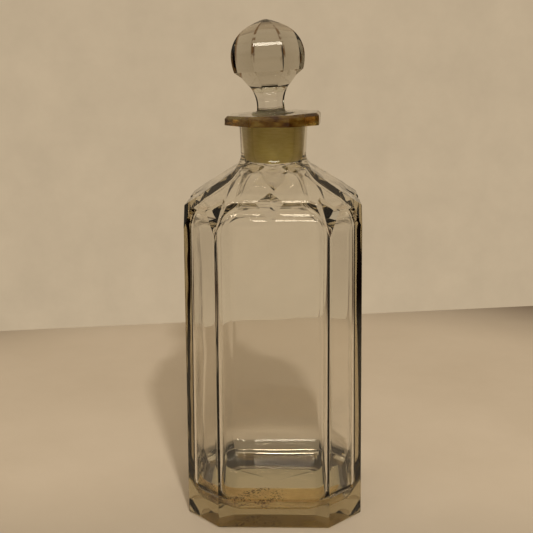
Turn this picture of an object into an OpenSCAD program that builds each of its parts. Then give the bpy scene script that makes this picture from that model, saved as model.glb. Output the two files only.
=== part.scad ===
// Square cut-glass bottle with bevelled corners, an octagonal lip and a ground-in ball stopper.
// Two pieces of glass. +Z is up, the origin is the centre of the base, and all sizes are millimetres.

/* [Body] */
// Width across two opposite flat sides at the base
body_w = 88; // [80:0.5:96]
// Height of the sharp edge where the left, right and corner sides meet the shoulder
shoulder_z = 158.6; // [150:0.2:162]
// How much higher that edge stands on the front and back sides
front_rise = 4.2; // [2:0.1:5]
// How far each side leans in between the base and the shoulder
draft = 1.4; // [0:0.1:2]
// Length that the corner bevel takes off each flat side
corner_cut = 16.6; // [14:0.2:19]
// Slope of the cut shoulder on the left, right and corner sides, in degrees
shoulder_slope = 33; // [30:0.5:35]
// Slope of the cut shoulder on the front and back sides, in degrees
front_slope = 28.5; // [26:0.5:31]

/* [Glass] */
// Thickness of the side walls
wall = 5.7; // [5:0.1:6.2]
// Thickness of the base under the middle of the inside floor
base_t = 5; // [4.5:0.1:7]
// Thickness of the shoulder, measured up and down
shoulder_t = 8; // [7.5:0.1:9]

/* [Neck and lip] */
// Radius of the neck at its waist
neck_r = 16.2; // [15:0.1:18]
// Height of the top face of the lip
lip_z = 200.6; // [198:0.2:206]
// Thickness of the lip
lip_t = 5.2; // [4:0.1:7]
// Distance across two opposite sides of the octagonal lip
lip_w = 46; // [42:0.5:50]
// Side-to-side tilt of the lip's top face, in degrees
lip_tilt = 2; // [0:0.1:2.5]

/* [Ground joint] */
// Radius of the stopper's plug level with the lip
plug_top_r = 10.6; // [9.5:0.1:11.5]
// Radius of the plug at its lower end
plug_end_r = 9.3; // [8.5:0.1:9.4]
// Length of the ground joint below the lip
plug_len = 25.4; // [20:0.2:28]
// Radial gap between the two ground faces
joint_gap = 0.08; // [0.04:0.01:0.1]

/* [Stopper] */
// Height from the lip to the widest part of the knob
knob_rise = 27.7; // [24:0.1:34]
// Distance from the knob's axis to each of its panels
knob_r = 17.75; // [15:0.05:19]
// Sideways lean of the hand-cut stem and knob, in degrees
lean = 3.2; // [0:0.1:4]
// How far the stem and knob are turned against the body, in degrees
knob_turn = 3; // [-5:0.5:5]

/* [Mitre cuts] */
// Opening angle of the cutting wheel's edge, in degrees
mitre_angle = 116; // [100:1:125]
// Length that a cut runs down each flat side
side_cut_drop = 8.6; // [6:0.1:10]
// Length that a cut runs down each upright corner edge
edge_cut_drop = 10.6; // [8:0.1:13]
// How much the hand-made cuts vary in length, and side to side
cut_wander = 0.9; // [0:0.1:1.2]

/* [Hidden] */
$fn = 96;

EPS = 0.01;
STEP = 7.5;                        // degrees turned by one step of an arc
ARRIS = 0.7;                       // width of the small bevels on ground edges
REACH = 80;                        // half length of a bar that is longer than the body is wide

half_w = body_w / 2;
corner_r = (body_w - corner_cut) / sqrt(2);          // axis to a corner bevel, at the base
front_z = shoulder_z + front_rise;
flare_r = 9;                       // concave sweep from the shoulder into the neck
BITE = 0.3;                        // how far a round form reaches past the flat sides that it meets
neck_top_r = neck_r + 0.7;
waist_z = front_z + 17.5;

inner_turn_r = 13;                 // bend of the inside wall under the shoulder
CORNER_SOFTER = 1.12;              // rounder bends in the corners, where the glass ran thicker
FRONT_SOFTER = 1.05;               // and a little rounder at the front and back
floor_slope = 12;                  // degrees that the rim of the inside floor rises towards the wall
// Bend of the inside wall into the floor, and length of the sloping rim that follows it
SIDE_FOOT = [11, 8];
BACK_FOOT = [14, 12];
FRONT_FOOT = [10, 4];
BACK_CORNER_FOOT = [15, 9];
FRONT_CORNER_FOOT = [12.5, 7];
throat_r = plug_end_r + joint_gap;
throat_flare_r = 4.5;
joint_taper = (plug_top_r - plug_end_r) / plug_len;

lip_bevel = 1.3;
lip_turn = -4;                     // degrees that the lip is turned against the body
pivot_z = lip_z - 20;              // the stem leans about this height
stem_foot_r = 7;
stem_waist_r = 6.7;
stem_head_r = 9.9;

// Points of an arc about [x, z] from angle a to angle b, both ends included
function arc(x, z, r, a, b) =
    let (n = max(2, ceil(abs(b - a) / STEP)))
    [for (i = [0:n]) let (t = a + (b - a) * i / n) [x + r * cos(t), z + r * sin(t)]];

// A closed outline from two half outlines, each given from the bottom up at positive x. The second one is
// mirrored to the -X side
function two_sides(right, left) =
    concat(right, [for (i = [len(left) - 1:-1:0]) [-left[i].x, left[i].y]]);

// A half outline closed by its own mirror image
function both_sides(points) = two_sides(points, points);

// Distance from the axis to a side at height z, where r is that distance at the base
function leaned(r, z) = r - draft * z / front_z;

// Point at radius x on the shoulder's line, which falls outwards at an angle to the edge [edge, z]
function on_shoulder(x, edge, z, angle) = [x, z + (edge - x) * tan(angle)];

// Half outline of one pair of opposite sides: upright from the foot to an edge at height z, then the
// shoulder at its slope, and a concave sweep up into the neck
function side_outline(r, z, angle) =
    let (edge = leaned(r, z),
         sweep = on_shoulder(neck_r - BITE + flare_r, edge, z, angle) + [0, flare_r / cos(angle)])
    concat([[r - ARRIS, 0], [r, ARRIS], [edge, z]],
           arc(sweep.x, sweep.y, flare_r, 270 - angle, 180));

// Half outline of the hollow behind one side: sloping rim of the floor, rounded foot, upright wall, rounded
// turn below the shoulder, and a small sweep up into the throat. The turn grows by the factor softer
function hollow_outline(r, z, angle, softer, foot) =
    let (bend_r = foot[0],
         run = foot[1],
         heel = [r - wall - bend_r, base_t + run * (1 - cos(floor_slope) + sin(floor_slope))
                                    + bend_r * cos(floor_slope)],
         toe_x = heel.x + (bend_r - run) * sin(floor_slope) - run * cos(floor_slope),
         edge = leaned(r, z),
         turn_r = inner_turn_r * softer,
         turn = on_shoulder(edge - wall - turn_r, edge, z, angle) - [0, shoulder_t + turn_r / cos(angle)],
         sweep = on_shoulder(throat_r - BITE + throat_flare_r, edge, z, angle)
                 + [0, throat_flare_r / cos(angle) - shoulder_t])
    concat(arc(toe_x, base_t + run, run, 270, 270 + floor_slope),
           arc(heel.x, heel.y, bend_r, 270 + floor_slope, 360),
           arc(turn.x, turn.y, turn_r, 0, 90 - angle),
           arc(sweep.x, sweep.y, throat_flare_r, 270 - angle, 180));

// A long bar with the given outline, lying along Y
module bar(outline) {
    rotate([90, 0, 0]) linear_extrude(2 * REACH, center = true) polygon(outline);
}

// What four crossed bars have in common: an eight-sided form. Front runs from the back (+X of its outline)
// to the front, and the two corner bars from a back corner and from a front corner
module crossed(side, front, from_back, from_front) {
    intersection() {
        bar(side);
        rotate(90) bar(front);
        rotate(45) bar(from_back);
        rotate(-45) bar(from_front);
    }
}

// The same from half outlines, where opposite sides are alike
module crossed_alike(side, front, corner) {
    crossed(both_sides(side), both_sides(front), both_sides(corner), both_sides(corner));
}

// A V groove cut by a wheel. Its valley starts at the point [r, aside, z] and climbs inwards
module mitre(angle, r, aside, z, climb) {
    mouth = 20;
    half_gap = mouth * tan(mitre_angle / 2);
    rotate(angle) translate([r, aside, z]) rotate([0, climb - 90, 0]) translate([0, 0, -mouth])
        linear_extrude(3 * mouth) polygon([[0, 0], [mouth, half_gap], [mouth, -half_gap]]);
}

// One groove in the middle of each flat side, across its shoulder edge
module side_mitres() {
    for (i = [0:3]) {
        edge_z = i % 2 == 0 ? shoulder_z : front_z;
        low_z = edge_z - side_cut_drop - cut_wander * sin(120 * i);
        mitre(90 * i, leaned(half_w, low_z), cut_wander * sin(100 * i - 30), low_z, 60.5);
    }
}

// One groove down the top of each upright corner edge
module edge_mitres() {
    for (i = [0:7]) {
        low_z = shoulder_z - edge_cut_drop - cut_wander * sin(115 * i + 100);
        x = leaned(half_w, low_z);
        y = leaned(corner_r, low_z) * sqrt(2) - x;
        hand = i % 2 == 0 ? 1 : -1;
        mitre(90 * floor(i / 2) + hand * atan(y / x), norm([x, y]), 0, low_z, 63.5);
    }
}

// The round blank that the shoulder is cut from. The ridges between the cuts fade into it below the neck
module blank() {
    bend_r = 6.5;
    top = [neck_r, waist_z + 1.5];
    bend = arc(top.x + bend_r, top.y, bend_r, 240, 180);
    skirt = [REACH, bend[0].y - (REACH - bend[0].x) * tan(20)];
    rotate_extrude() polygon(concat([[0, -1], [REACH, -1], skirt], bend, [[0, top.y]]));
}

module neck() {
    foot_z = waist_z - 25;
    top_z = lip_z - lip_t + 1;
    rotate_extrude()
        polygon([[0, foot_z], [neck_r, foot_z], [neck_r, waist_z], [neck_top_r, top_z], [0, top_z]]);
}

// Half outline of the lip, with its bevel wider by the factor softer
function lip_outline(softer) =
    let (half = lip_w / 2, bevel = lip_bevel * softer)
    [[half, lip_z - 2 * lip_t], [half, lip_z - bevel], [half - bevel, lip_z]];

// The lip's underside is level and its top face tilts
module lip() {
    side = lip_outline(1);
    corner = lip_outline(CORNER_SOFTER);
    intersection() {
        translate([0, 0, lip_z]) rotate([0, -lip_tilt, lip_turn]) translate([0, 0, -lip_z])
            crossed_alike(side, side, corner);
        translate([0, 0, lip_z - lip_t]) cylinder(r = lip_w, h = 2 * lip_t);
    }
}

// The tapered socket that the plug is ground into
module socket() {
    mouth = 3;
    rotate_extrude()
        polygon([[0, lip_z - plug_len], [throat_r, lip_z - plug_len],
                 [plug_top_r + joint_gap + joint_taper * mouth, lip_z + mouth], [0, lip_z + mouth]]);
}

// The plain bore between the socket and the hollow
module throat() {
    translate([0, 0, shoulder_z]) cylinder(r = throat_r, h = lip_z - plug_len - shoulder_z + EPS);
}

// The inside of the body. Its foot differs from side to side, as the blown glass ran
module hollow() {
    side = hollow_outline(half_w, shoulder_z, shoulder_slope, 1, SIDE_FOOT);
    back = hollow_outline(half_w, front_z, front_slope, FRONT_SOFTER, BACK_FOOT);
    front = hollow_outline(half_w, front_z, front_slope, FRONT_SOFTER, FRONT_FOOT);
    back_corner = hollow_outline(corner_r, shoulder_z, shoulder_slope, CORNER_SOFTER, BACK_CORNER_FOOT);
    front_corner = hollow_outline(corner_r, shoulder_z, shoulder_slope, CORNER_SOFTER, FRONT_CORNER_FOOT);
    crossed(both_sides(side), two_sides(back, front),
            two_sides(back_corner, front_corner), two_sides(front_corner, back_corner));
}

module bottle() {
    color([0.83, 0.82, 0.74, 0.45]) difference() {
        union() {
            intersection() {
                crossed_alike(side_outline(half_w, shoulder_z, shoulder_slope),
                        side_outline(half_w, front_z, front_slope),
                        side_outline(corner_r, shoulder_z, shoulder_slope));
                blank();
            }
            neck();
            lip();
        }
        hollow();
        throat();
        socket();
        side_mitres();
        edge_mitres();
    }
}

// Half outline of the knob: an underside, a bevel, a slightly flat lower half and a pointed dome
function knob_outline() =
    let (z = lip_z + knob_rise, low_r = 24, up_r = 15.4, cap_r = 41.7, bend = 60,
         cap = [knob_r - up_r, z] - (cap_r - up_r) * [cos(bend), sin(bend)])
    concat([[10.1, z - 13.7], [13.4, z - 9.6]],
           arc(knob_r - low_r, z, low_r, -17, -2),
           arc(knob_r - up_r, z, up_r, 0, bend - 2),
           arc(cap.x, cap.y, cap_r, bend, acos(-cap.x / cap_r)));

// Half outline of the stem: a slight foot, a waist and a concave sweep out to the knob
function stem_outline() =
    let (sweep_r = 17, waist_rise = 4.2)
    concat([[stem_foot_r, lip_z - 2]],
           arc(stem_waist_r + sweep_r, lip_z + waist_rise, sweep_r, 180, 180 - 35.5),
           [[stem_head_r, lip_z + knob_rise - 10]]);

module stem_and_knob() {
    stem = stem_outline();
    knob = knob_outline();
    crossed_alike(stem, stem, stem);
    crossed_alike(knob, knob, knob);
}

module plug() {
    end_z = lip_z - plug_len;
    rotate_extrude()
        polygon([[0, end_z], [plug_end_r - ARRIS, end_z], [plug_end_r + joint_taper * ARRIS, end_z + ARRIS],
                 [plug_top_r, lip_z], [plug_top_r - ARRIS, lip_z + ARRIS], [0, lip_z + ARRIS]]);
}

module stopper() {
    color([0.86, 0.84, 0.77, 0.5]) {
        plug();
        translate([0, 0, pivot_z]) rotate([0, -lean, knob_turn]) translate([0, 0, -pivot_z])
            stem_and_knob();
    }
}

bottle();
stopper();
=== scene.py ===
"""Square cut-glass bottle with a ground-glass ball stopper: its looks, built around the CAD frame.

Shapes are worked out in millimetres, as closed skins through stacks of rings, and scaled to metres
at the end. Every ring has the same number of points, so rings of any outline can be joined.
"""

import math

import bmesh
import bpy
import numpy as np
from mathutils import Euler, Matrix, Vector


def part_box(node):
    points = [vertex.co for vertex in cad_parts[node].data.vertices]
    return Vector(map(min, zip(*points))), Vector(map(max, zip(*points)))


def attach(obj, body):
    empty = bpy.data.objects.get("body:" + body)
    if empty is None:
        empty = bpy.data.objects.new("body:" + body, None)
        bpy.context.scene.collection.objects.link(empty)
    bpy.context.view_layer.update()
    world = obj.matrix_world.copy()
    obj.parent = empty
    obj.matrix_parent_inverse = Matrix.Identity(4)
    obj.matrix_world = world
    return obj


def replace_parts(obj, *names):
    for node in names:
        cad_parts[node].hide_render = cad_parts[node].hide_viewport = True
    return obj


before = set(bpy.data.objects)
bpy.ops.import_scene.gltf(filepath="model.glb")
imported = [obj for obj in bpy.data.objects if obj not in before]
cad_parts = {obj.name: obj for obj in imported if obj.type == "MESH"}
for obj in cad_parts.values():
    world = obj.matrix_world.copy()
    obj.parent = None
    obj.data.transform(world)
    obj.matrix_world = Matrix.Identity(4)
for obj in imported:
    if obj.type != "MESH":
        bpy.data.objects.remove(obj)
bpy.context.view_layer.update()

MM = 0.001
SIDES = 8                           # right, corner, back, corner, left, corner, front, corner
EIGHTH = math.pi / 4

# ---------------------------------------------------------------- sizes, in millimetres
# Body, outside
LIP_Z = 200.6                       # top of the lip, on the axis
BODY_W = 2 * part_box("bottle")[1].x / MM
HALF_W = BODY_W / 2
CORNER_CUT = 16.6                   # what a corner side cuts off the edge of the full square
CORNER_R = (BODY_W - CORNER_CUT) / math.sqrt(2)     # from the axis to a corner side
SIDE_Z = 158.6                      # shoulder edge on the left, right and corner sides
FRONT_Z = 162.8                     # shoulder edge on the front and back sides
DRAFT = 1.4                         # how far each side leans in from the foot to FRONT_Z
SIDE_SLOPE = math.radians(33)       # of the shoulder's facets
FRONT_SLOPE = math.radians(28.5)
FLARE_R = 9.0                       # sweep from the shoulder up to the neck
BITE = 0.3                          # how deep the cut facets run into the round neck
OUTER_RHO = 0.75                    # rounding of the upright outside edges
EDGE_SOFT = 0.45                    # softness of the shoulder edge
RIDGE_SOFT = 0.8                    # and of the places where the ridges fade into the round blank
NECK_SOFT = 0.6
ARRIS = 0.7                         # rounding of the foot's edge and of the plug's end
HOLLOW_T = 0.35                     # shallow hollow ground under the base

# Body, inside
WALL = 5.7
THICKER = (0.1, 0.3, 0.3, 0.3, -0.1, -0.4, -0.4, -0.3)  # added to the wall, by side
BASE_T = 5.0
SHOULDER_T = 8.0                    # measured upright
INNER_RHO = 5.0                     # rounding of the upright inside corners
FLOOR_RHO = 3.5                     # and of the floor's corners
INNER_TURN_R = 13.0                 # bend of the inside wall into the shoulder
SOFTER = (1.0, 1.12, 1.05, 1.12) * 2                    # what that is multiplied by, by side
THROAT_FLARE_R = 4.5                # sweep from the inside of the shoulder up to the throat
THROAT_ROUND_Z = 170                # from here up the throat becomes round
# By side: bend of the inside wall into the floor, and length of the sloping rim that follows it
FOOT = ((11, 8), (15, 9), (14, 12), (15, 9), (11, 8), (12.5, 7), (10, 4), (12.5, 7))
FLOOR_SLOPE = math.radians(12)
WAVE_T = 0.055                      # unevenness of the inside walls
STILL_RINGS = 4                     # rings at the foot of the inside walls that have no unevenness

# Neck, and the round blank that the shoulder is cut from
NECK_R = 16.2
NECK_TOP_R = NECK_R + 0.7
WAIST_Z = FRONT_Z + 17.5            # where the neck is thinnest
BLANK_TOP_Z = WAIST_Z + 1.5
BLANK_BEND_R = 6.5
BLANK_SPREAD = 3                    # how far it spreads below the bend, for each mm down

# Lip
LIP_HALF = 23.0
LIP_T = 5.2
LIP_BEVEL = 1.3
LIP_RHO = 0.6                       # rounding of its eight corners
LIP_TILT = math.radians(2)
LIP_TURN = math.radians(-4)

# Plug of the stopper, and the socket it is ground into
PLUG_LEN = 25.4
PLUG_TOP_R = 10.6
PLUG_END_R = 9.3
JOINT_GAP = 0.08                    # radial clearance between them
THROAT_R = PLUG_END_R + JOINT_GAP
TAPER = (PLUG_TOP_R - PLUG_END_R) / PLUG_LEN
SOCKET_Z = LIP_Z - PLUG_LEN

# Stem and knob, which lean and turn together about PIVOT_Z
PIVOT_Z = LIP_Z - 20
PLUG_FACE_Z = LIP_Z + 0.72
LEAN = math.radians(3.2)
KNOB_TURN = math.radians(3)
STEM_WAIST_R = 6.7
STEM_WAIST_Z = LIP_Z + 4.2
STEM_SWEEP_R = 17.0
STEM_RHO = 0.35                     # rounding of the edges between the panels
KNOB_Z = LIP_Z + 27.7               # where the knob is widest
KNOB_R = 17.75
CHEEK_R = 24.0                      # curve below the widest place
BROW_R = 15.4                       # curve above it
BROW_BEND = 60.0                    # degrees that the brow turns before the flatter crown
CROWN_R = 41.7
CHIN_R, CHIN_DROP = 10.1, 13.7      # foot of the chin: its radius, and its depth below KNOB_Z
JAW_R, JAW_DROP = 13.4, 9.6         # top of the chin

# Mitre cuts at the shoulder edge
MITRE_HALF_ANGLE = math.radians(58)  # half of the opening of the V
FLAT_MITRE_DROP = 8.6               # start of a cut on a flat side, below the shoulder edge
FLAT_MITRE_CLIMB = 60.5             # its climb in degrees
CORNER_MITRE_DROP = 10.6            # the same for a cut on an upright edge
CORNER_MITRE_CLIMB = 63.5
CORNER_MITRE_DEPTH = 0.3            # how deep it starts inside the edge
WANDER = 0.9                        # how far the hand-made cuts stray


# ---------------------------------------------------------------- small helpers
def soft_min(a, b, k):
    """The smaller of a and b, with the corner between them rounded over a width k."""
    h = np.clip(0.5 + 0.5 * (b - a) / k, 0, 1)
    return b * (1 - h) + a * h - k * h * (1 - h)


def soft_max(a, b, k):
    return -soft_min(-a, -b, k)


def smooth(t):
    """0 below t = 0, 1 above t = 1, with an even passage between them."""
    t = np.clip(t, 0, 1)
    return t * t * (3 - 2 * t)


def ladder(low, high, step):
    """Values from low towards high, without high, about a step apart."""
    n = max(1, int(round((high - low) / step)))
    return [low + (high - low) * i / n for i in range(n)]


def sind(degrees):
    return math.sin(math.radians(degrees))


# ---------------------------------------------------------------- rings
ARC_STEPS = 5                       # steps round each rounded corner
FLAT_STEPS = 16                     # steps along each flat side


def along_flat():
    """Places along a flat side, from 0 to 1, closer together near its ends so that it shades flat."""
    t = np.arange(1, FLAT_STEPS) / FLAT_STEPS
    eased = 0.5 - 0.5 * np.cos(math.pi * t)
    inner = 0.45 * eased + 0.55 * t
    return np.concatenate([[0.018], inner[1:-1], [0.982]])


FLAT_PLACES = along_flat()


def octagon(dist, rho, turn=0.0):
    """Ring of points round an octagon.

    dist holds the distances of its eight sides from the axis, and rho is the radius of its corners.
    """
    normal = [np.array([math.cos(a), math.sin(a)]) for a in EIGHTH * np.arange(SIDES)]
    centres = []
    for i in range(SIDES):
        a = dist[i] - rho
        b = dist[(i + 1) % SIDES] - rho
        across = np.array([-normal[i][1], normal[i][0]])
        centres.append(a * normal[i] + across * (b - a * math.cos(EIGHTH)) / math.sin(EIGHTH))
    points = []
    for i in range(SIDES):
        begin = centres[i - 1] + rho * normal[i]
        end = centres[i] + rho * normal[i]
        for t in FLAT_PLACES:
            points.append(begin + (end - begin) * t)
        for step in range(ARC_STEPS + 1):
            angle = EIGHTH * (i + step / ARC_STEPS)
            points.append(centres[i] + rho * np.array([math.cos(angle), math.sin(angle)]))
    c, s = math.cos(turn), math.sin(turn)
    return np.array(points) @ np.array([[c, s], [-s, c]])


def even_octagon(dist, rho, turn=0.0):
    return octagon([dist] * SIDES, rho, turn)


def ring_angles():
    """Angle of each ring point on a round section: those of a regular octagon, spread more evenly."""
    ring = even_octagon(10.0, 2.5)
    return np.unwrap(np.arctan2(ring[:, 1], ring[:, 0]))


ANGLES = ring_angles()


def circle(r):
    return np.stack([r * np.cos(ANGLES), r * np.sin(ANGLES)], axis=1)


def rounded_off(ring, radius, drift):
    """The ring with new radii. By the share drift, its points move to their places on a round section."""
    angle = np.unwrap(np.arctan2(ring[:, 1], ring[:, 0]))
    angle = angle + (ANGLES - angle) * drift
    return np.stack([radius * np.cos(angle), radius * np.sin(angle)], axis=1)


def at_height(ring, z):
    return np.column_stack([ring, np.full(len(ring), z) if np.isscalar(z) else z])


def moved(points, matrix):
    m = np.array(matrix)
    return points @ m[:3, :3].T + m[:3, 3]


def tilted_about(z, lean, turn):
    """Matrix of a lean to the side and a turn, both about the point of the axis at height z."""
    turned = Euler((0, -lean, turn)).to_matrix().to_4x4()
    return Matrix.Translation((0, 0, z)) @ turned @ Matrix.Translation((0, 0, -z))


# ---------------------------------------------------------------- outside of the bottle
def leaned(r, z):
    return r - DRAFT * z / FRONT_Z


def outer_distance(r, edge_z, slope, z):
    """Distance of a side from the axis at height z: upright, then shoulder, then a sweep to the neck."""
    edge = leaned(r, edge_z)
    sweep_x = NECK_R - BITE + FLARE_R
    sweep_z = edge_z + (edge - sweep_x) * math.tan(slope) + FLARE_R / math.cos(slope)
    if z > sweep_z:
        return NECK_R - BITE
    if z > sweep_z - FLARE_R * math.cos(slope):
        return sweep_x - math.sqrt(max(FLARE_R ** 2 - (sweep_z - z) ** 2, 0))
    cut = edge - (z - edge_z) / math.tan(slope)
    return float(soft_min(leaned(r, z), cut, EDGE_SOFT))


def outer_distances(z):
    side = outer_distance(HALF_W, SIDE_Z, SIDE_SLOPE, z)
    front = outer_distance(HALF_W, FRONT_Z, FRONT_SLOPE, z)
    corner = outer_distance(CORNER_R, SIDE_Z, SIDE_SLOPE, z)
    return [side, corner, front, corner] * 2


def blank_radius(z):
    """Radius of the round blank that the shoulder is cut from, which the ridges fade into."""
    drop = max(BLANK_TOP_Z - z, 0)
    bend = min(drop, 0.9 * BLANK_BEND_R)
    bent = BLANK_BEND_R - math.sqrt(BLANK_BEND_R ** 2 - bend ** 2)
    return NECK_R + bent + BLANK_SPREAD * (drop - bend)


def neck_radius(z):
    """Radius of the neck, which widens slightly from its waist up to the lip."""
    share = (z - WAIST_Z) / (LIP_Z - LIP_T + 1 - WAIST_Z)
    return NECK_R + (NECK_TOP_R - NECK_R) * max(share, 0)


def outer_ring(z):
    ring = octagon(outer_distances(z), OUTER_RHO)
    if z > FRONT_Z + 2:
        radius = soft_min(np.hypot(ring[:, 0], ring[:, 1]), blank_radius(z), RIDGE_SOFT)
        radius = soft_max(radius, neck_radius(z), NECK_SOFT)
        ring = rounded_off(ring, radius, smooth((z - BLANK_TOP_Z + 8) / 8))
    return at_height(ring, z)


def base_rings():
    """The underside, from the middle outwards: shallow hollow, flat contact band, rounded edge."""
    foot = [HALF_W, CORNER_R] * 4
    rings = []
    for share in (0.06, 0.2, 0.36, 0.52, 0.68, 0.8, 0.86, 0.9, 0.94):
        ring = octagon([d * share for d in foot], OUTER_RHO + 0.3 * HALF_W * share * (1 - share))
        rings.append(at_height(ring, HOLLOW_T * (1 - smooth((share - 0.5) / 0.4))))
    for t in (0, 0.25, 0.5, 0.75, 1):
        a = math.pi / 2 * t
        inset = ARRIS * (1 - math.sin(a))
        ring = octagon([d - inset for d in foot], OUTER_RHO)
        rings.append(at_height(ring, ARRIS * (1 - math.cos(a))))
    return rings


def outer_heights():
    """Heights of the outside rings, from the foot up, closest together round the shoulder edges."""
    near = [-1.2, -0.6, -0.3, -0.12, 0.0, 0.12, 0.3, 0.6, 1.2]
    heights = [1.2, 2.2] + ladder(4, 140, 4) + ladder(140, 156, 2)
    heights += [SIDE_Z + d for d in near] + [161.0] + [FRONT_Z + d for d in near]
    heights += ladder(165.5, 172, 1.1) + ladder(172, BLANK_TOP_Z, 0.5)
    heights += ladder(BLANK_TOP_Z, LIP_Z - LIP_T - 0.6, 1.5)
    return heights


# ---------------------------------------------------------------- lip
LIP_MATRIX = tilted_about(LIP_Z, LIP_TILT, LIP_TURN)


def lip_top_z(ring):
    """Height of the tilted top face of the lip at the places of a ring."""
    normal = np.array(LIP_MATRIX.to_3x3() @ Vector((0, 0, 1)))
    return LIP_Z - (normal[0] * ring[:, 0] + normal[1] * ring[:, 1]) / normal[2]


def tilted_lip_ring(inset, drop):
    return moved(at_height(even_octagon(LIP_HALF - inset, LIP_RHO), LIP_Z - drop), LIP_MATRIX)


def lip_underside():
    """From the neck out along the level underside."""
    under = LIP_Z - LIP_T
    neck_top = NECK_TOP_R - 0.03
    rings = []
    for out, rise in ((0.0, -0.35), (0.15, -0.12), (0.4, 0.0), (1.2, 0.0)):
        rings.append(at_height(circle(neck_top + out), under + rise))
    for share in (0.88, 0.97, 0.985):
        rings.append(at_height(even_octagon(LIP_HALF * share, LIP_RHO, LIP_TURN), under))
    return rings


def lip_sides():
    """Up the eight sides and over the bevel."""
    rings = []
    for inset, rise in ((0.12, 0.0), (0.0, 0.14)):
        ring = even_octagon(LIP_HALF - inset, LIP_RHO, LIP_TURN)
        rings.append(at_height(ring, LIP_Z - LIP_T + rise))
    for inset, drop in ((0, 2.6), (0, LIP_BEVEL + 0.25), (0.05, LIP_BEVEL), (0.2, LIP_BEVEL - 0.2),
                        (LIP_BEVEL - 0.2, 0.2)):
        rings.append(tilted_lip_ring(inset, drop))
    return rings


def lip_top():
    """From the bevel in to the mouth."""
    rings = [tilted_lip_ring(LIP_BEVEL, 0.04), tilted_lip_ring(LIP_BEVEL + 0.3, 0)]
    for r in (19.5, 17, 14.5, 12.4, 11.6):
        ring = circle(r)
        rings.append(at_height(ring, lip_top_z(ring)))
    return rings


# ---------------------------------------------------------------- inside of the bottle
def mouth_edge():
    """The slightly rounded edge of the mouth. Its first two rings are polished, the others are matt."""
    rings = []
    for out, drop in ((0.45, 0.0), (0.3, 0.05), (0.12, 0.16), (0.03, 0.35), (0.0, 0.7)):
        ring = circle(PLUG_TOP_R + JOINT_GAP + out)
        rings.append(at_height(ring, lip_top_z(ring) - drop))
    return rings


def socket_rings():
    """The ground socket, from the mouth down to the throat."""
    heights = reversed(ladder(SOCKET_Z, LIP_Z - 2.0, 1.6))
    return [at_height(circle(THROAT_R + (z - SOCKET_Z) * TAPER), z) for z in heights]


def foot_height(side):
    """Height at which the bend of the inside wall into the floor begins."""
    bend_r, run = FOOT[side]
    rim_top = run * (1 - math.cos(FLOOR_SLOPE) + math.sin(FLOOR_SLOPE))
    return BASE_T + rim_top + bend_r * math.cos(FLOOR_SLOPE)


def foot_distance(wall, side, z):
    """Distance of the inside from the axis below foot_height: bend, sloping rim, soft end on the floor."""
    bend_r, run = FOOT[side]
    climb = run * (1 - math.cos(FLOOR_SLOPE))
    rim_x = wall - bend_r + bend_r * math.sin(FLOOR_SLOPE)
    toe_x = rim_x - run * math.cos(FLOOR_SLOPE)
    up = z - BASE_T
    if up < climb:
        return toe_x - run * math.sin(FLOOR_SLOPE) + math.sqrt(max(run ** 2 - (run - up) ** 2, 0))
    if up < climb + run * math.sin(FLOOR_SLOPE):
        return toe_x + (up - climb) / math.tan(FLOOR_SLOPE)
    return wall - bend_r + math.sqrt(max(bend_r ** 2 - (foot_height(side) - z) ** 2, 0))


def inner_distance(r, edge_z, slope, side, z):
    """Distance of the inside from the axis: foot, wall, bend, underside of the shoulder, sweep, throat."""
    foot = r - WALL
    foot_z = foot_height(side)
    turn_r = INNER_TURN_R * SOFTER[side]
    edge = leaned(r, edge_z)
    turn_x = edge - WALL - turn_r
    turn_z = edge_z + (edge - turn_x) * math.tan(slope) - SHOULDER_T - turn_r / math.cos(slope)
    sweep_x = THROAT_R - BITE + THROAT_FLARE_R
    sweep_z = edge_z + (edge - sweep_x) * math.tan(slope) + THROAT_FLARE_R / math.cos(slope) - SHOULDER_T
    if z < foot_z:
        return foot_distance(foot, side, z)
    if z < turn_z:
        return foot + (edge - WALL - foot) * (z - foot_z) / (turn_z - foot_z)
    if z < turn_z + turn_r * math.cos(slope):
        return turn_x + math.sqrt(max(turn_r ** 2 - (z - turn_z) ** 2, 0))
    if z < sweep_z - THROAT_FLARE_R * math.cos(slope):
        return edge - (z + SHOULDER_T - edge_z) / math.tan(slope)
    if z < sweep_z:
        return sweep_x - math.sqrt(max(THROAT_FLARE_R ** 2 - (sweep_z - z) ** 2, 0))
    return THROAT_R - BITE


def inner_distances(z):
    upright = float(smooth((SIDE_Z - z) / 20) * smooth((z - BASE_T - 2) / 16))
    side = (HALF_W, SIDE_Z, SIDE_SLOPE)
    corner = (CORNER_R, SIDE_Z, SIDE_SLOPE)
    front = (HALF_W, FRONT_Z, FRONT_SLOPE)
    outlines = (side, corner, front, corner) * 2
    return [inner_distance(*outlines[i], i, z) - THICKER[i] * upright for i in range(SIDES)]


def inner_ring(z):
    dist = inner_distances(z)
    ring = octagon(dist, min(INNER_RHO, 0.3 * min(dist), FLOOR_RHO + 0.3 * (z - BASE_T)))
    if z > SIDE_Z:
        radius = soft_max(np.hypot(ring[:, 0], ring[:, 1]), THROAT_R, RIDGE_SOFT)
        radius = radius + (THROAT_R - radius) * smooth((z - THROAT_ROUND_Z) / 5)
        ring = rounded_off(ring, radius, smooth((z - SIDE_Z - 6) / 10))
    return at_height(ring, z)


def inner_heights():
    """Heights of the inside rings, from the throat down."""
    heights = [BASE_T + rise for rise in (0.03, 0.09, 0.17, 0.27)]
    heights += ladder(BASE_T + 0.45, BASE_T + 3, 0.3) + ladder(BASE_T + 3, BASE_T + 10, 0.5)
    heights += ladder(BASE_T + 10, BASE_T + 18, 1.0) + ladder(BASE_T + 18, 140, 4)
    heights += ladder(140, 158, 1.2) + ladder(158, 166, 1.0) + ladder(166, SOCKET_Z, 0.6)
    return [SOCKET_Z - 0.15] + heights[::-1]


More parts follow.
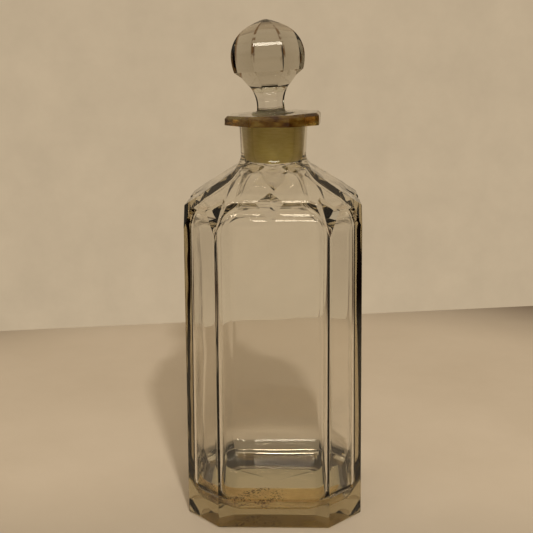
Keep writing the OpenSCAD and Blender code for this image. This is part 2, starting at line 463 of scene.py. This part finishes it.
def waviness(p):
    """Slow hand-blown unevenness of the inside wall at the points p, within about 1.5 either way."""
    z = p[:, 2]
    a = np.arctan2(p[:, 1], p[:, 0])
    wave = 0.5 * np.sin(a * 5 + z * 0.045 + 0.7) + 0.35 * np.sin(a * 9 - z * 0.07 + 2.1)
    wave = wave + 0.45 * np.sin(z * 0.16 + 1.8 * np.sin(a * 3 + 0.4))
    return wave + 0.25 * np.sin(z * 0.29 + a * 6 + 1.3)


def inner_walls():
    """The hollow from the throat down to the floor, slightly uneven below the socket."""
    rings = [inner_ring(z) for z in inner_heights()]
    for ring in rings[:-STILL_RINGS]:
        out = ring[:, :2] / np.hypot(ring[:, 0], ring[:, 1])[:, None]
        amount = WAVE_T * float(smooth((SOCKET_Z - 8 - ring[0, 2]) / 12))
        ring[:, :2] += out * (amount * waviness(ring))[:, None]
    return rings


def floor_rings():
    """The inside floor, from the foot of the wall to the middle."""
    foot = inner_distances(BASE_T + 1e-6)
    rings = []
    for share in (1.0, 0.93, 0.84, 0.74, 0.62, 0.5, 0.38, 0.26, 0.14, 0.05):
        rings.append(at_height(octagon([d * share for d in foot], FLOOR_RHO * share), BASE_T))
    return rings


# ---------------------------------------------------------------- skins
def linked(name, data):
    """A new object in the scene, with a mesh, light or camera as its data."""
    made = bpy.data.objects.new(name, data)
    bpy.context.scene.collection.objects.link(made)
    return made


def skin(name, bands, materials):
    """A closed mesh, in metres, through all the rings.

    Each band is a material slot and its rings. A face takes the slot of the ring it starts from.
    """
    rings = [ring for _, band in bands for ring in band]
    ring_slots = [slot for slot, band in bands for _ in band]
    n = len(rings[0])
    last = len(rings) - 1
    middles = [rings[0].mean(axis=0), rings[-1].mean(axis=0)]
    points = np.concatenate(rings + [middles]) * MM
    faces = []
    slots = []
    for k in range(last):
        for i in range(n):
            j = (i + 1) % n
            faces.append((k * n + i, k * n + j, (k + 1) * n + j, (k + 1) * n + i))
            slots.append(ring_slots[k])
    first_middle = len(rings) * n
    for i in range(n):
        j = (i + 1) % n
        faces.append((first_middle, j, i))
        faces.append((first_middle + 1, last * n + i, last * n + j))
        slots += [ring_slots[0], ring_slots[last]]
    mesh = bpy.data.meshes.new(name)
    mesh.from_pydata(points.tolist(), [], faces)
    for material in materials:
        mesh.materials.append(material)
    mesh.polygons.foreach_set("material_index", slots)
    mesh.validate()
    return linked(name, mesh)


def face_outwards(piece):
    bm = bmesh.new()
    bm.from_mesh(piece.data)
    if bm.calc_volume(signed=True) < 0:
        bmesh.ops.reverse_faces(bm, faces=bm.faces)
    bm.to_mesh(piece.data)
    bm.free()


def shade(piece, degrees):
    """Shade smoothly, but keep edges that turn by more than this sharp."""
    piece.data.polygons.foreach_set("use_smooth", [True] * len(piece.data.polygons))
    piece.data.set_sharp_from_angle(angle=math.radians(degrees))
    piece.data.update()


# ---------------------------------------------------------------- mitre cuts
def wedge(angle, place, climb):
    """A V-shaped cutter. Its edge starts at place and climbs inwards. angle and climb are in degrees."""
    reach = 9.0
    low, high = -6.0, 22.0
    gap = reach * math.tan(MITRE_HALF_ANGLE)
    outline = [(0.0, 0.0), (reach, gap), (reach, -gap)]
    corners = [Vector((x, y, z)) for z in (low, high) for x, y in outline]
    matrix = (
        Matrix.Rotation(math.radians(angle), 4, "Z")
        @ Matrix.Translation(place)
        @ Matrix.Rotation(math.radians(climb - 90), 4, "Y")
    )
    faces = [(0, 2, 1), (3, 4, 5), (0, 1, 4, 3), (1, 2, 5, 4), (2, 0, 3, 5)]
    mesh = bpy.data.meshes.new("wedge")
    mesh.from_pydata([(matrix @ c) * MM for c in corners], [], faces)
    mesh.update()
    cutter = linked("wedge", mesh)
    face_outwards(cutter)
    return cutter


def flat_wedge(i):
    """The cutter in the middle of flat side i."""
    edge_z = SIDE_Z if i % 2 == 0 else FRONT_Z
    low_z = edge_z - FLAT_MITRE_DROP - WANDER * sind(120 * i)
    aside = WANDER * sind(100 * i - 30)
    return wedge(90 * i, (leaned(HALF_W, low_z), aside, low_z), FLAT_MITRE_CLIMB)


def corner_wedge(i):
    """The cutter on upright edge i, between a flat side and a corner side."""
    low_z = SIDE_Z - CORNER_MITRE_DROP - WANDER * sind(115 * i + 100)
    x = leaned(HALF_W, low_z)
    y = leaned(CORNER_R, low_z) * math.sqrt(2) - x
    hand = 1 if i % 2 == 0 else -1
    angle = 90 * (i // 2) + hand * math.degrees(math.atan(y / x))
    return wedge(angle, (math.hypot(x, y) - CORNER_MITRE_DEPTH, 0, low_z), CORNER_MITRE_CLIMB)


def carve(piece, cutters):
    """Cut the cutters' shapes out of the piece and remove them."""
    for cutter in cutters:
        cut = piece.modifiers.new("mitre", "BOOLEAN")
        cut.operation = "DIFFERENCE"
        cut.solver = "EXACT"
        cut.object = cutter
    graph = bpy.context.evaluated_depsgraph_get()
    carved = bpy.data.meshes.new_from_object(piece.evaluated_get(graph))
    piece.modifiers.clear()
    piece.data = carved
    for cutter in cutters:
        bpy.data.objects.remove(cutter)


# ---------------------------------------------------------------- the bottle
CLEAR, GROUND, STAINED, AMBER = 0, 1, 2, 3
SOCKET_TONES = ((0.72, 0.54, 0.10), (0.89, 0.73, 0.21))
PLUG_TONES = ((0.74, 0.64, 0.38), (0.88, 0.80, 0.55))
STAIN_RISE = 9                      # how far above the floor the stained glass reaches


def build_bottle():
    outside = base_rings() + [outer_ring(z) for z in outer_heights()]
    edge = mouth_edge()
    walls = inner_walls()
    stained = sum(1 for z in inner_heights() if z < BASE_T + STAIN_RISE)
    bands = [
        (CLEAR, outside + lip_underside()),
        (AMBER, lip_sides()),
        (CLEAR, lip_top() + edge[:2]),
        (GROUND, edge[2:] + socket_rings()),
        (CLEAR, walls[:-stained]),
        (STAINED, walls[-stained:] + floor_rings()),
    ]
    materials = [
        clear_glass("bottle_clear"), ground_glass("bottle_ground", *SOCKET_TONES),
        stained_glass("bottle_stained"), amber_glass("bottle_lip"),
    ]
    bottle = skin("bottle_glass", bands, materials)
    face_outwards(bottle)
    carve(bottle, [flat_wedge(i) for i in range(4)] + [corner_wedge(i) for i in range(8)])
    shade(bottle, 22)
    return bottle


# ---------------------------------------------------------------- the stopper
STEM_MATRIX = tilted_about(PIVOT_Z, LEAN, KNOB_TURN)


def leaning_ring(r, z, rho=STEM_RHO):
    return moved(at_height(even_octagon(r, rho), z), STEM_MATRIX)


def arc_points(x, z, r, start, end, steps):
    """Points (distance from the axis, height) along an arc, whose angles are in degrees."""
    angles = [math.radians(start + (end - start) * i / steps) for i in range(steps + 1)]
    return [(x + r * math.cos(a), z + r * math.sin(a)) for a in angles]


def between(a, b, t):
    return (a[0] + (b[0] - a[0]) * t, a[1] + (b[1] - a[1]) * t)


def knob_points():
    """Distances and heights up the knob: chin, jaw, cheek, brow and low crown."""
    bend = math.radians(BROW_BEND)
    crown_x = KNOB_R - BROW_R - (CROWN_R - BROW_R) * math.cos(bend)
    crown_z = KNOB_Z - (CROWN_R - BROW_R) * math.sin(bend)
    top = math.degrees(math.acos(-crown_x / CROWN_R))
    chin = (CHIN_R, KNOB_Z - CHIN_DROP)
    jaw = (JAW_R, KNOB_Z - JAW_DROP)
    cheek = arc_points(KNOB_R - CHEEK_R, KNOB_Z, CHEEK_R, -17, 0, 9)
    brow = arc_points(KNOB_R - BROW_R, KNOB_Z, BROW_R, 0, BROW_BEND, 20)
    crown = arc_points(crown_x, crown_z, CROWN_R, BROW_BEND, top, 12)
    low = [between(chin, jaw, t) for t in (0.0, 0.06, 0.5, 0.94)] + [jaw, between(jaw, cheek[0], 0.94)]
    return low + cheek + brow[1:] + crown[1:-1]


def plug_end():
    """The flat end of the plug, from its middle outwards, slightly hollow."""
    return [at_height(circle(r), SOCKET_Z + 0.25 * smooth((8.2 - r) / 5)) for r in (0.8, 3, 5.5, 7.6, 8.4)]


def plug_edge():
    """The rounded edge between the end of the plug and its ground side."""
    rings = []
    for t in (0, 0.35, 0.7, 1):
        a = math.pi / 2 * t
        ring = circle(PLUG_END_R - ARRIS * (1 - math.sin(a)))
        rings.append(at_height(ring, SOCKET_Z + ARRIS * (1 - math.cos(a))))
    return rings


def plug_side():
    heights = ladder(SOCKET_Z + 1.4, LIP_Z - 0.3, 1.5)
    return [at_height(circle(PLUG_END_R + (z - SOCKET_Z) * TAPER), z) for z in heights]


def plug_top():
    """The rounded edge above the ground side, and in to the foot of the stem."""
    rings = []
    for inset, rise in ((0.0, -0.1), (0.12, 0.2), (0.35, 0.5), (0.7, 0.7), (1.2, 0.72)):
        rings.append(at_height(circle(PLUG_TOP_R - inset), LIP_Z + rise))
    rings.append(at_height(circle(8.4), PLUG_FACE_Z))
    return rings


def stem_and_knob():
    """The octagonal stem, from its foot on the plug, and the knob."""
    rings = [leaning_ring(r, LIP_Z + rise, 0.5) for r, rise in ((7.55, 0.75), (7.1, 1.0))]
    sweep = arc_points(STEM_WAIST_R + STEM_SWEEP_R, STEM_WAIST_Z, STEM_SWEEP_R, 192, 145, 16)
    knob = knob_points()
    rings += [leaning_ring(r, z) for r, z in sweep if LIP_Z + 1.4 < z < knob[0][1] - 0.1]
    rings += [leaning_ring(r, z, min(STEM_RHO, 0.2 * r)) for r, z in knob]
    return rings


def build_stopper():
    edge = plug_edge()
    bands = [
        (CLEAR, plug_end() + edge[:1]),
        (GROUND, edge[1:] + plug_side()),
        (CLEAR, plug_top() + stem_and_knob()),
    ]
    materials = [streaked_glass("stopper_clear"), ground_glass("stopper_ground", *PLUG_TONES)]
    stopper = skin("stopper_glass", bands, materials)
    face_outwards(stopper)
    shade(stopper, 28)
    return stopper


# ---------------------------------------------------------------- node helpers
def new_material(name):
    material = bpy.data.materials.new(name)
    material.use_nodes = True
    material.node_tree.nodes.clear()
    return material, material.node_tree


def node(tree, kind, **settings):
    made = tree.nodes.new(kind)
    for key, value in settings.items():
        setattr(made, key, value)
    return made


def set_inputs(made, values):
    for key, value in values.items():
        made.inputs[key].default_value = value


def feed(tree, value, socket):
    """Link an output to a socket, or set the socket to a number or an (r, g, b) colour."""
    if isinstance(value, (int, float)):
        socket.default_value = value
    elif isinstance(value, tuple):
        socket.default_value = (*value, 1)
    else:
        tree.links.new(value, socket)


def object_coords(tree):
    return node(tree, "ShaderNodeTexCoord").outputs["Object"]


def stretched(tree, coords, finer):
    """Coordinates in which a pattern is so many times finer up the object than round it."""
    made = node(tree, "ShaderNodeMapping")
    set_inputs(made, {"Scale": (1, 1, finer)})
    tree.links.new(coords, made.inputs["Vector"])
    return made.outputs[0]


def split(tree, vector):
    made = node(tree, "ShaderNodeSeparateXYZ")
    tree.links.new(vector, made.inputs[0])
    return made.outputs


def noise(tree, scale, detail, coords, rough=0.5):
    made = node(tree, "ShaderNodeTexNoise")
    set_inputs(made, {"Scale": scale, "Detail": detail, "Roughness": rough})
    tree.links.new(coords, made.inputs["Vector"])
    return made.outputs["Fac"]


def ramp(tree, source, stops):
    """Colours by the source's value. Each stop is a value and an (r, g, b) colour."""
    made = node(tree, "ShaderNodeValToRGB")
    while len(made.color_ramp.elements) < len(stops):
        made.color_ramp.elements.new(0.5)
    for element, (place, colour) in zip(made.color_ramp.elements, stops):
        element.position = place
        element.color = (*colour, 1)
    tree.links.new(source, made.inputs["Fac"])
    return made.outputs["Color"]


def math_node(tree, operation, *values):
    made = node(tree, "ShaderNodeMath", operation=operation)
    for value, socket in zip(values, made.inputs):
        feed(tree, value, socket)
    return made.outputs[0]


def times(tree, product, *factors):
    for factor in factors:
        product = math_node(tree, "MULTIPLY", product, factor)
    return product


def inverse(tree, value):
    """0 where value is 1, and 1 where it is 0."""
    return math_node(tree, "SUBTRACT", 1.0, value)


def fall(tree, value, start, end):
    """1 below start, 0 above end, smooth in between."""
    made = node(tree, "ShaderNodeMapRange", interpolation_type="SMOOTHSTEP")
    tree.links.new(value, made.inputs["Value"])
    set_inputs(made, {"From Min": start, "From Max": end, "To Min": 1.0, "To Max": 0.0})
    return made.outputs[0]


def blend(tree, factor, a, b):
    """Colour a where factor is 0 and b where it is 1. Each is a colour or an output."""
    made = node(tree, "ShaderNodeMix", data_type="RGBA")
    for value, socket in ((factor, 0), (a, 6), (b, 7)):
        feed(tree, value, made.inputs[socket])
    return made.outputs[2]


def mixed(tree, factor, a, b):
    """Shader a where factor is 0 and b where it is 1."""
    made = node(tree, "ShaderNodeMixShader")
    for value, socket in ((factor, 0), (a.outputs[0], 1), (b.outputs[0], 2)):
        feed(tree, value, made.inputs[socket])
    return made


def distance(tree, coords, centre=(0, 0, 0)):
    made = node(tree, "ShaderNodeVectorMath", operation="DISTANCE")
    tree.links.new(coords, made.inputs[0])
    made.inputs[1].default_value = centre
    return made.outputs["Value"]


def finish(tree, shader):
    """Connect the surface shader to a new output, and return the output."""
    output = node(tree, "ShaderNodeOutputMaterial")
    tree.links.new(shader.outputs[0], output.inputs["Surface"])
    return output


# ---------------------------------------------------------------- glass
GLASS_IOR = 1.52
GLASS_TINT = (0.66, 0.58, 0.36, 1)
KNOB_TINT = (0.42, 0.37, 0.22, 1)   # the solid stopper looks greyer than the bottle
GLASS_DENSITY = 26.0
STREAK = (0.16, 0.06, 0.01)
FLECK = (0.16, 0.08, 0.02)
AMBER_FILM = [(0.36, (0.13, 0.04, 0.004)), (0.50, (0.46, 0.24, 0.04)), (0.64, (0.90, 0.66, 0.20))]
RESIDUE = [(0.30, (0.60, 0.36, 0.07)), (0.52, (0.86, 0.58, 0.16)), (0.75, (0.98, 0.74, 0.26))]
STAIN_X = (-0.041, 0.032)           # where the residue on the floor ends, in metres
STAIN_Y = -0.0095
STAIN_EDGE = 0.0008
STAIN_COVER = 0.48                  # share of the light that the residue keeps from passing
FLECK_COVER = 0.8
STAIN_ROUGH = 0.8                   # roughness where nothing passes


def finish_glass(tree, shader, tint=GLASS_TINT):
    """Connect the surface shader and the absorption inside the glass."""
    volume = node(tree, "ShaderNodeVolumeAbsorption")
    set_inputs(volume, {"Color": tint, "Density": GLASS_DENSITY})
    tree.links.new(volume.outputs[0], finish(tree, shader).inputs["Volume"])


def polished(tree, coords):
    """Shader of polished glass with faint striae. Its colour is still to be set."""
    glass = node(tree, "ShaderNodeBsdfPrincipled")
    set_inputs(glass, {"Roughness": 0.0, "IOR": GLASS_IOR, "Transmission Weight": 1.0})
    bump = node(tree, "ShaderNodeBump")
    set_inputs(bump, {"Strength": 0.02, "Distance": 0.0002})
    tree.links.new(noise(tree, 160, 2, coords), bump.inputs["Height"])
    tree.links.new(bump.outputs[0], glass.inputs["Normal"])
    return glass


def clear_glass(name):
    material, tree = new_material(name)
    glass = polished(tree, object_coords(tree))
    set_inputs(glass, {"Base Color": (1, 1, 1, 1)})
    finish_glass(tree, glass)
    return material


def near_ridges(tree, coords):
    """1 on the upper ridges of the knob and 0 beside them, in the knob's own turned and leaning frame."""
    knob = node(tree, "ShaderNodeMapping", vector_type="TEXTURE")
    set_inputs(knob, {"Location": (0, 0, PIVOT_Z * MM), "Rotation": (0, -LEAN, KNOB_TURN)})
    tree.links.new(coords, knob.inputs["Vector"])
    x, y, z = split(tree, knob.outputs[0])
    panels = times(tree, math_node(tree, "ARCTAN2", y, x), SIDES / (2 * math.pi))
    aside = math_node(tree, "SUBTRACT", math_node(tree, "FRACT", panels), 0.5)
    line = fall(tree, math_node(tree, "ABSOLUTE", aside), 0.03, 0.10)
    low = (KNOB_Z - PIVOT_Z - 3) * MM
    return times(tree, line, inverse(tree, fall(tree, z, low, low + 0.004)))


def streaked_glass(name):
    """The stopper's polished glass, with broken brown streaks down the upper ridges of the knob."""
    material, tree = new_material(name)
    coords = object_coords(tree)
    glass = polished(tree, coords)
    broken = ramp(tree, noise(tree, 230, 3, coords), [(0.44, (0, 0, 0)), (0.52, (1, 1, 1))])
    streak = times(tree, near_ridges(tree, coords), broken)
    tree.links.new(blend(tree, streak, (1.0, 1.0, 1.0), STREAK), glass.inputs["Base Color"])
    finish_glass(tree, glass, KNOB_TINT)
    return material


def ground_glass(name, dark, pale):
    """The matt ground faces of the socket and the plug: they scatter, so they show from every side."""
    material, tree = new_material(name)
    grain = noise(tree, 260, 5, stretched(tree, object_coords(tree), 5), 0.65)
    colour = ramp(tree, grain, [(0.25, dark), (0.75, pale)])
    glass = node(tree, "ShaderNodeBsdfPrincipled")
    set_inputs(glass, {"Roughness": 0.45, "IOR": GLASS_IOR, "Transmission Weight": 0.30})
    tree.links.new(colour, glass.inputs["Base Color"])
    matt = node(tree, "ShaderNodeBsdfTranslucent")
    tree.links.new(colour, matt.inputs["Color"])
    finish_glass(tree, mixed(tree, 0.25, glass, matt))
    return material


def amber_glass(name):
    """Polished glass with an uneven amber film, rougher where it is darker, as on the lip."""
    material, tree = new_material(name)
    film = noise(tree, 110, 5, stretched(tree, object_coords(tree), 3), 0.6)
    rough = ramp(tree, film, [(0.3, (0.22, 0.22, 0.22)), (0.7, (0.02, 0.02, 0.02))])
    glass = node(tree, "ShaderNodeBsdfPrincipled")
    set_inputs(glass, {"IOR": GLASS_IOR, "Transmission Weight": 0.88})
    tree.links.new(ramp(tree, film, AMBER_FILM), glass.inputs["Base Color"])
    tree.links.new(rough, glass.inputs["Roughness"])
    finish_glass(tree, glass)
    return material


def stain_patch(tree, x, y):
    """1 on the dried residue, which ends in straight lines, and 0 beside it."""
    front = fall(tree, y, STAIN_Y - STAIN_EDGE, STAIN_Y + STAIN_EDGE)
    right = fall(tree, x, STAIN_X[1] - STAIN_EDGE, STAIN_X[1] + STAIN_EDGE)
    left = fall(tree, times(tree, x, -1.0), -STAIN_X[0] - 0.003, -STAIN_X[0] + 0.003)
    return times(tree, front, right, left)


def stain_specks(tree, x, y, coords):
    """1 on the flecks, which lie mostly at the left of the floor and towards its front."""
    fleck = noise(tree, 900, 3, coords, 0.6)
    region = noise(tree, 60, 3, coords, 0.6)
    flecked = times(tree, fall(tree, y, -0.016, 0.006), fall(tree, x, -0.006, 0.022), region)
    return math_node(tree, "GREATER_THAN", math_node(tree, "ADD", fleck, flecked), 1.02)


def stained_glass(name):
    """The inside floor and the foot of its walls, with a dried amber residue and brown flecks."""
    material, tree = new_material(name)
    coords = object_coords(tree)
    x, y, _ = split(tree, coords)
    patch = stain_patch(tree, x, y)
    specks = stain_specks(tree, x, y, coords)
    amber = ramp(tree, noise(tree, 130, 6, coords, 0.7), RESIDUE)
    base = blend(tree, patch, (1.0, 1.0, 1.0), amber)
    covered = math_node(
        tree, "MAXIMUM", times(tree, patch, STAIN_COVER), times(tree, specks, FLECK_COVER))
    glass = node(tree, "ShaderNodeBsdfPrincipled")
    set_inputs(glass, {"IOR": GLASS_IOR})
    tree.links.new(blend(tree, specks, base, FLECK), glass.inputs["Base Color"])
    tree.links.new(inverse(tree, covered), glass.inputs["Transmission Weight"])
    tree.links.new(times(tree, covered, STAIN_ROUGH), glass.inputs["Roughness"])
    finish_glass(tree, glass)
    return material


# ---------------------------------------------------------------- stage, in metres
WALL_Y = 0.329
WALL_TURN = math.radians(9.7)
WALL_HEIGHT = 1.6
WALL_HALF = 0.90                    # half width of the evenly lit part of the backdrop
TABLE_R = 0.30                      # radius of the evenly lit part of the floor
FADE = 0.22                         # how far both take to fade into the dim room
FLOOR_HALF = 4.0
FLOOR_Z = -0.0002                   # just below the base, so that no faces coincide
FLOOR_DARK = (0.53, 0.462, 0.38)
FLOOR_PALE = (0.585, 0.516, 0.433)
# painted shade: colour of the floor towards the front
FLOOR_FRONT_SHADE = (0.336, 0.2952, 0.243)
WALL_DARK = (0.47975, 0.37525, 0.2489)
WALL_PALE = (0.53025, 0.41475, 0.2751)
ROOM_DIM = (0.050, 0.024, 0.012)    # gives the glass its dark edges
ROOM_PALE = (0.46, 0.38, 0.27)
CEILING = (0.78, 0.64, 0.45)
PAINTED_UNDER_LIGHT = (0.21, 0.158, 0.072)   # painted light: a glow on the floor below the base, standing in for light that reaches it through the glass
UNDER_R = 0.040
PAINTED_BEHIND_LIGHT = (0.150, 0.120, 0.080)  # painted light: a glow on the floor just behind the base, standing in for light the glass passes on to it
BEHIND_Y = 0.048
BEHIND_R = (0.018, 0.062)           # where that painted light begins and ends to fade
LAMPS = (
    # name, place, target, width and height, power in watts, colour
    ("key", (0.21, -0.93, 0.96), (0, 0, 0.08), (0.06, 0.05), 8.1, (1.0, 0.92, 0.80)),
    ("window", (0.085, -0.86, 1.02), (0, 0, 0.2), (0.32, 0.22), 2.9, (1.0, 0.89, 0.72)),
)


def away_from_front(tree, vector):
    """1 for directions to the sides and behind, 0 for those towards the front of the object."""
    way = node(tree, "ShaderNodeVectorMath", operation="NORMALIZE")
    tree.links.new(vector, way.inputs[0])
    return fall(tree, times(tree, split(tree, way.outputs[0])[1], -1.0), 0.20, 0.55)


def floor_colour(tree, coords):
    """Slightly cloudy pale paint, with painted shade that makes it darker towards the front."""
    clouds = ramp(tree, noise(tree, 9, 6, coords, 0.6), [(0.3, FLOOR_DARK), (0.7, FLOOR_PALE)])
    towards = times(tree, split(tree, coords)[1], -1.0)
    return blend(tree, fall(tree, towards, -0.02, 0.13), FLOOR_FRONT_SHADE, clouds)


def painted_floor_light(tree, coords):
    """Painted light: a glow on the floor below the base and just behind it, in place of light that reaches
    it through the glass.
    """
    below = fall(tree, distance(tree, coords), UNDER_R, UNDER_R + 0.004)
    behind = fall(tree, distance(tree, coords, (0, BEHIND_Y, 0)), *BEHIND_R)
    return blend(tree, below, blend(tree, behind, (0.0, 0.0, 0.0), PAINTED_BEHIND_LIGHT), PAINTED_UNDER_LIGHT)


def floor_material():
    """Pale paint that fades into the dim room at the sides and behind."""
    material, tree = new_material("floor_paint")
    coords = object_coords(tree)
    paint = node(tree, "ShaderNodeBsdfPrincipled")
    set_inputs(paint, {"Roughness": 0.6, "Specular IOR Level": 0.25, "Emission Strength": 1.0})
    tree.links.new(floor_colour(tree, coords), paint.inputs["Base Color"])
    # painted light below and behind the base, as emission of the floor
    tree.links.new(painted_floor_light(tree, coords), paint.inputs["Emission Color"])
    room = node(tree, "ShaderNodeEmission")
    set_inputs(room, {"Color": (*ROOM_DIM, 1)})
    far = inverse(tree, fall(tree, distance(tree, coords), TABLE_R, TABLE_R + FADE))
    table = inverse(tree, times(tree, far, away_from_front(tree, coords)))
    finish(tree, mixed(tree, table, room, paint))
    return material


def wall_material():
    """An evenly glowing backdrop that is seen from the front only and fades into the room at its sides."""
    material, tree = new_material("wall_glow")
    coords = object_coords(tree)
    clouds = ramp(tree, noise(tree, 22, 6, coords, 0.65), [(0.3, WALL_DARK), (0.7, WALL_PALE)])
    across = math_node(tree, "ABSOLUTE", split(tree, coords)[0])
    lit = fall(tree, across, WALL_HALF, WALL_HALF + FADE)
    light = node(tree, "ShaderNodeEmission")
    tree.links.new(blend(tree, lit, ROOM_DIM, clouds), light.inputs["Color"])
    clear = node(tree, "ShaderNodeBsdfTransparent")
    backface = node(tree, "ShaderNodeNewGeometry").outputs["Backfacing"]
    finish(tree, mixed(tree, backface, light, clear))
    return material


def plane(name, corners, material):
    mesh = bpy.data.meshes.new(name)
    mesh.from_pydata(corners, [], [tuple(range(len(corners)))])
    mesh.materials.append(material)
    piece = linked(name, mesh)
    return piece


def build_stage():
    far = FLOOR_HALF
    floor = [(-far, -far, FLOOR_Z), (far, -far, FLOOR_Z), (far, far, FLOOR_Z), (-far, far, FLOOR_Z)]
    plane("floor", floor, floor_material())
    wide = WALL_HALF + FADE
    upright = [(-wide, 0, FLOOR_Z), (wide, 0, FLOOR_Z), (wide, 0, WALL_HEIGHT), (-wide, 0, WALL_HEIGHT)]
    wall = plane("wall", upright, wall_material())
    wall.location = (0, WALL_Y, 0)
    wall.rotation_euler = (0, 0, WALL_TURN)


def area_light(name, place, target, size, power, colour):
    light = bpy.data.lights.new(name, "AREA")
    light.shape = "RECTANGLE"
    light.size, light.size_y = size
    light.energy = power
    light.color = colour
    lamp = linked(name, light)
    lamp.location = place
    lamp.rotation_mode = "QUATERNION"
    lamp.rotation_quaternion = (Vector(target) - Vector(place)).to_track_quat("-Z", "Y")


def build_world():
    """A room that is dim low down at the sides and behind, paler elsewhere, and palest at its ceiling."""
    world = bpy.data.worlds.new("room")
    bpy.context.scene.world = world
    world.use_nodes = True
    tree = world.node_tree
    direction = node(tree, "ShaderNodeTexCoord").outputs["Generated"]
    up = split(tree, direction)[2]
    low = times(tree, fall(tree, up, 0.02, 0.35), away_from_front(tree, direction))
    sides = blend(tree, low, ROOM_PALE, ROOM_DIM)
    room = blend(tree, fall(tree, up, 0.65, 0.9), CEILING, sides)
    tree.links.new(room, tree.nodes["Background"].inputs[0])


def build_lights():
    bpy.context.scene.view_settings.view_transform = "Standard"
    for lamp in LAMPS:
        area_light(*lamp)
    build_world()


# ---------------------------------------------------------------- camera
EYE = (0.0114, -0.4734, 0.2337)
EYE_PITCH = math.radians(13.165)    # down
EYE_YAW = math.radians(1.862)
EYE_ROLL = math.radians(-0.498)
LENS = 64.2
SENSOR = 36


def build_camera():
    camera = bpy.data.cameras.new("camera")
    camera.sensor_width = SENSOR
    camera.lens = LENS
    eye = linked("camera", camera)
    aim = Matrix.Rotation(EYE_YAW, 4, "Z") @ Matrix.Rotation(math.pi / 2 - EYE_PITCH, 4, "X")
    eye.matrix_world = Matrix.Translation(EYE) @ aim @ Matrix.Rotation(EYE_ROLL, 4, "Z")
    bpy.context.scene.camera = eye


build_camera()
build_stage()
build_lights()

bottle = build_bottle()
stopper = build_stopper()

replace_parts(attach(bottle, "bottle"), "bottle")
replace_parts(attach(stopper, "stopper"), "stopper")
